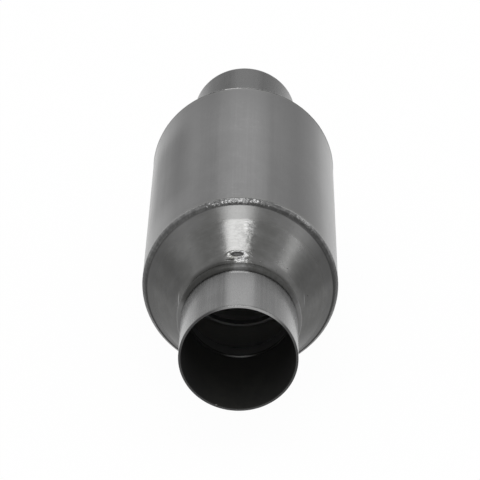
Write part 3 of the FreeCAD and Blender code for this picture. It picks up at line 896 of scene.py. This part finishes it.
def weld_metal(name, light, dark, seed, least_rough=0.12, metallic=1.0):
    """Frozen weld pool: light metal with darker, slightly olive patches and dark specks."""
    material, board, shader = steel(name, {"Metallic": metallic, **DULL})
    place = board.add("ShaderNodeTexCoord").outputs["Object"]
    offset = board.vector("ADD", place, (seed, seed, seed)).outputs[0]
    patches = board.noise(offset, 110.0, 4.0, 0.6)
    grain = board.noise(offset, 900.0, 3.0, 0.6)
    scuff = board.scuffs(seed=seed, amount=0.6)
    colour = board.blend(board.spread(patches, 0.36, 0.64), grey(dark, 0.06), grey(light))
    colour = board.tint(colour, scuff["Speck"], 0.7, grey(dark * 0.5))
    roughness = total(board, (patches, 0.18), (grain, 0.10), (least_rough, 1.0))
    height = total(board, (patches, 0.5), (grain, 0.08))
    surface(board, shader, colour, roughness, height, bump_strength=0.7, bump_distance=0.3 * MM)
    return material


def neck_bead_metal():
    """The neck weld, with painted light: a painted dark reflection over its left and right, painted
    highlights from its flanks down and on top of the inlet's bead.
    """
    material, board, shader = steel("neck_weld_metal", {})
    place = board.turned_place()
    patches = board.grain(place, around=24.0, length=0.5, seed=6.0, detail=4.0)
    grain = board.grain(place, around=140.0, length=3.0, seed=18.0, detail=3.0)
    colour = board.blend(board.spread(patches, 0.36, 0.64), grey(0.09, 0.04), grey(0.13))
    # Painted dark reflection over the left and right of the bead.
    left = board.band(place["Angle"], -66.0, -6.0, soft=7.0)
    colour = board.tint(colour, left, 0.8, grey(0.042, 0.04))
    right = board.band(place["Angle"], 8.0, 62.0, soft=6.0)
    colour = board.tint(colour, right, 0.5, grey(0.04, 0.04))
    # Painted highlight: lighter from the flanks down.
    flank = board.spread(board.math("ABSOLUTE", place["Angle"]), 66.0, 76.0)
    colour = board.tint(colour, flank, 0.5, grey(0.24))
    # Painted highlight on top of the inlet's bead.
    top = board.band(place["Angle"], -5.5, 5.5, soft=2.5)
    top = board.times(top, board.spread(place["Run"], -20.0, 20.0, 0.25, 0.0))
    colour = board.blend(top, colour, grey(0.25))
    roughness = total(board, (patches, 0.18), (grain, 0.10), (0.34, 1.0))
    height = total(board, (patches, 0.4), (grain, 0.08))
    surface(board, shader, colour, roughness, height, bump_strength=0.6, bump_distance=0.3 * MM)
    return material


def end_bead_metal():
    """The end weld, brushed on its shell side: shell grey there, with painted shade as a dark line at
    its foot and over its lower part, and painted highlights along its flanks and on top of the
    outlet's bead.
    """
    material, board, shader = steel("end_weld_metal", {})
    place = board.turned_place()
    patches = board.grain(place, around=22.0, length=0.4, seed=6.0, detail=3.0)
    grain = board.grain(place, around=120.0, length=2.4, seed=16.0, detail=3.0)
    colour = board.blend(board.spread(patches, 0.36, 0.64), grey(0.12), grey(0.20))
    off_top = board.math("ABSOLUTE", place["Angle"])
    # Painted shade: a dark line along the foot, wider round the sides.
    round_side = board.spread(off_top, 14.0, 42.0)
    foot_edge = total(board, (patches, 0.6), (round_side, 0.5), (place["Along"], 1.0))
    foot = board.spread(foot_edge, 92.0, 93.0)
    foot = board.times(foot, board.spread(place["Angle"], -40.0, 30.0, 0.55, 0.75))
    colour = board.blend(foot, colour, grey(0.04, 0.02))
    # Painted highlight: a light line along the lap edge on both flanks.
    lip = board.band(place["Along"], 89.0, 90.2, soft=0.5)
    lip_round = board.band(off_top, 26.0, 80.0, soft=8.0)
    lip = board.times(lip, lip_round)
    colour = board.tint(colour, lip, 0.6, grey(0.36))
    # Painted shade: darker from the sides down.
    underside = board.spread(off_top, 62.0, 85.0)
    colour = board.tint(colour, underside, 0.7, grey(0.05))
    # Painted highlight: a light line on top of the outlet's bead, with two dark pits beside it.
    rear = board.band(place["Run"], 88.4, 90.6, soft=0.4)
    painted_rear_highlight = board.band(place["Angle"], -11.6, -1.4, soft=0.6)
    colour = board.blend(board.times(painted_rear_highlight, rear), colour, grey(0.40))
    for pit in (-19.4, 11.8):
        pitted = board.band(place["Angle"], pit - 0.7, pit + 0.7, soft=0.5)
        colour = board.blend(board.times(pitted, rear), colour, grey(0.03))
    roughness = total(board, (patches, 0.16), (grain, 0.10), (0.12, 1.0))
    height = total(board, (patches, 0.3), (grain, 0.03))
    surface(board, shader, colour, roughness, height, bump_strength=0.7, bump_distance=0.3 * MM)
    return material


def floor_surface():
    """White for the camera and in reflections, with enough of the lit floor to keep a shadow."""
    material = bpy.data.materials.new("pale_floor")
    material.use_nodes = True
    nodes = material.node_tree.nodes
    nodes.clear()
    board = Board(material.node_tree)
    rays = board.add("ShaderNodeLightPath").outputs
    mirrored = board.math("MAXIMUM", rays["Is Glossy Ray"], rays["Is Transmission Ray"])
    white_share = board.math("MULTIPLY_ADD", rays["Is Camera Ray"], 0.97,
                             board.times(mirrored, 0.8))
    lit = board.add("ShaderNodeBsdfDiffuse", {"Color": (0.9, 0.9, 0.9, 1)}).outputs[0]
    white = board.add("ShaderNodeEmission", {"Color": (1, 1, 1, 1), "Strength": 1.0}).outputs[0]
    mixed = board.add("ShaderNodeMixShader", {0: white_share, 1: lit, 2: white}).outputs[0]
    board.add("ShaderNodeOutputMaterial", {"Surface": mixed})
    return material


# Studio

def photo_camera():
    """The photograph's view, found by fitting a pinhole camera to the muffler's outline."""
    camera = bpy.data.objects.new("photo_camera", bpy.data.cameras.new("photo_camera"))
    camera.location = (0.01908898, -1.62997465, 0.81757246)
    aim = Vector((-0.01112379, 0.89131501, -0.45324807))
    camera.rotation_mode = "QUATERNION"
    camera.rotation_quaternion = aim.to_track_quat("-Z", "Y")
    camera.data.sensor_width = 36.0
    camera.data.lens = 196.755
    bpy.context.scene.collection.objects.link(camera)
    bpy.context.scene.camera = camera


def soft_lamp(name, place, target, width, height, radiance):
    """A rectangular lamp that shows the given brightness in a mirror."""
    light = bpy.data.lights.new(name, "AREA")
    light.shape = "RECTANGLE"
    light.size = width
    light.size_y = height
    light.energy = radiance * math.pi * width * height
    lamp = bpy.data.objects.new(name, light)
    lamp.location = place
    lamp.rotation_mode = "QUATERNION"
    lamp.rotation_quaternion = (Vector(target) - Vector(place)).to_track_quat("-Z", "Y")
    lamp.visible_camera = False
    bpy.context.scene.collection.objects.link(lamp)


def studio():
    floor_mesh = bpy.data.meshes.new("floor")
    reach = 6.0
    floor_mesh.from_pydata([(-reach, -reach, FLOOR_Z), (reach, -reach, FLOOR_Z),
                            (reach, reach, FLOOR_Z), (-reach, reach, FLOOR_Z)], [], [(0, 1, 2, 3)])
    floor_mesh.materials.append(floor_surface())
    floor = bpy.data.objects.new("floor", floor_mesh)
    bpy.context.scene.collection.objects.link(floor)
    world = bpy.data.worlds.new("plain_room")
    world.use_nodes = True
    world.node_tree.nodes["Background"].inputs["Color"].default_value = (0.85, 0.85, 0.85, 1)
    bpy.context.scene.world = world
    soft_lamp("overhead", (-0.085, -0.09, 1.55), (-0.085, -0.11, 0), width=0.72,
              height=0.40, radiance=5.1)
    soft_lamp("back", (0.02, 1.75, 1.10), (0, 0, 0.06), width=1.0, height=0.75, radiance=0.6)
    soft_lamp("right", (1.55, 0.14, 0.96), (0, -0.1, 0.04), width=0.26, height=0.42,
              radiance=2.1)
    bpy.context.scene.view_settings.view_transform = "Standard"


# The muffler

def shell_unevenness(along, radius, angle):
    """A rolled sheet isn't quite round: in places it lies up to 0.12 mm low."""
    return 0.12 * MM * drift(angle, along, 0.05, 1.0)


def cone_unevenness(end_seed):
    """Shallow spinning waves and a few light hammer marks on the cone's slope. Each mark is an
    along in mm, an angle in degrees, a width and a depth in mm."""
    fade = 6 * MM
    marks = [(105.5, 7.5, 2.4, 0.04), (108.5, 10.0, 2.2, 0.07), (111.5, 7.5, 2.2, 0.04),
             (108.0, 2.0, 1.8, 0.05), (107.0, -4.0, 2.2, 0.05), (114.0, -5.0, 2.4, 0.05),
             (119.0, -2.0, 2.2, 0.04)]

    def dent(along, radius, angle):
        slope = min((along - END_TOE) / fade, (COLLAR_EDGE - fade - along) / fade)
        slope = max(0.0, min(1.0, slope))
        depth = 0.16 * drift(angle, along, 0.022, end_seed)
        depth += 0.05 * drift(angle, along, 0.007, end_seed + 3)
        from_top = (math.degrees(angle) + 180) % 360 - 180
        for mark_along, mark_angle, size, mark_depth in marks:
            away = math.hypot(along / MM - mark_along, from_top - mark_angle)
            depth += mark_depth * math.exp(-(away / size) ** 2)
        return depth * slope * MM

    return dent


def dress_muffler():
    shell_steel = rolled_shell_steel()
    cone_steel = spun_cone_steel()
    pipe_steels = {"inlet": drawn_pipe_steel("inlet", tone=1.0, soot_tone=1.0),
                   "outlet": drawn_pipe_steel("outlet", tone=0.44, soot_tone=0.3)}
    inner_steel = pressed_inner_steel()
    bead_metal = weld_metal("weld_metal", light=0.15, dark=0.07, seed=0.0)
    neck_metal = neck_bead_metal()
    blob_metal = weld_metal("bright_weld_metal", light=0.24, dark=0.12, seed=3.0)
    crater_oxide = weld_metal("crater_oxide", light=0.07, dark=0.03, seed=4.0, least_rough=0.25)
    end_bead = end_bead_metal()
    inner_bead_metal = weld_metal("inner_weld_metal", light=0.55, dark=0.40, seed=5.0,
                                  least_rough=0.5, metallic=0.05)

    shell = turned("shell_sheet", tube_outline(-SHELL_HALF, SHELL_HALF, SHELL_R, WALL), OUTLET,
                   shell_steel, shell_unevenness)
    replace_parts(shell, "shell")
    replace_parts(seam_bead(bead_metal), "shell_seam_weld")
    for end, side in ENDS:
        cone = turned(f"{end}_spun_cone",
                      cone_outline("outlet_cone", COLLAR_R, WALL, CONE_COLLAR, CONE_SKIRT),
                      side, cone_steel, cone_unevenness(3.0 + side), segments=512)
        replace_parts(cone, f"{end}_cone")
        pipe = turned(f"{end}_stub", tube_outline(PIPE_END, MOUTH, PIPE_R, WALL), side,
                      pipe_steels[end])
        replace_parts(pipe, f"{end}_pipe")
        for kind, *sizes in INNER_CONES:
            inner = turned(f"{end}_{kind}_cone", cone_outline(f"outlet_{kind}", *sizes), side,
                           inner_steel, segments=128)
            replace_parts(inner, f"{end}_{kind}")
        neck = ring_bead(f"{end}_neck_bead", side, (NECK_LAP, COLLAR_R),
                         (NECK_TOE - 0.7 * MM, PIPE_R), bulge=1.6 * MM, fullness=2.4,
                         pitch=2.1 * MM, ripple=0.10 * MM, lumps=0.1 * MM, seed=2.0 + side,
                         material=neck_metal)
        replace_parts(neck, f"{end}_neck_weld")
        seam = ring_bead(f"{end}_end_bead", side, (END_LAP, SHELL_R),
                         (END_TOE, cone_radius(END_TOE)), bulge=0.55 * MM, fullness=5.0,
                         pitch=2.4 * MM, ripple=0.09 * MM, lumps=0.3 * MM, seed=8.0 + side,
                         material=end_bead, highest=END_CROWN_R - 0.02 * MM)
        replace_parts(seam, f"{end}_end_weld")
        for node in (f"{end}_diffuser_weld", f"{end}_partition_tacks"):
            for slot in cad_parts[node].material_slots:
                slot.material = inner_bead_metal

    crater_lump(blob_metal, crater_oxide)
    run_down_lump(blob_metal)
    spatter("inlet", INLET, [(129.0 * MM, math.radians(19.5), 0.55 * MM),
                             (129.6 * MM, math.radians(36.0), 0.5 * MM)],
            count=12, seed=41, material=bead_metal)
    spatter("outlet", OUTLET, [], count=14, seed=42, material=bead_metal)
    mouth_burr(blob_metal)


photo_camera()
studio()
dress_muffler()
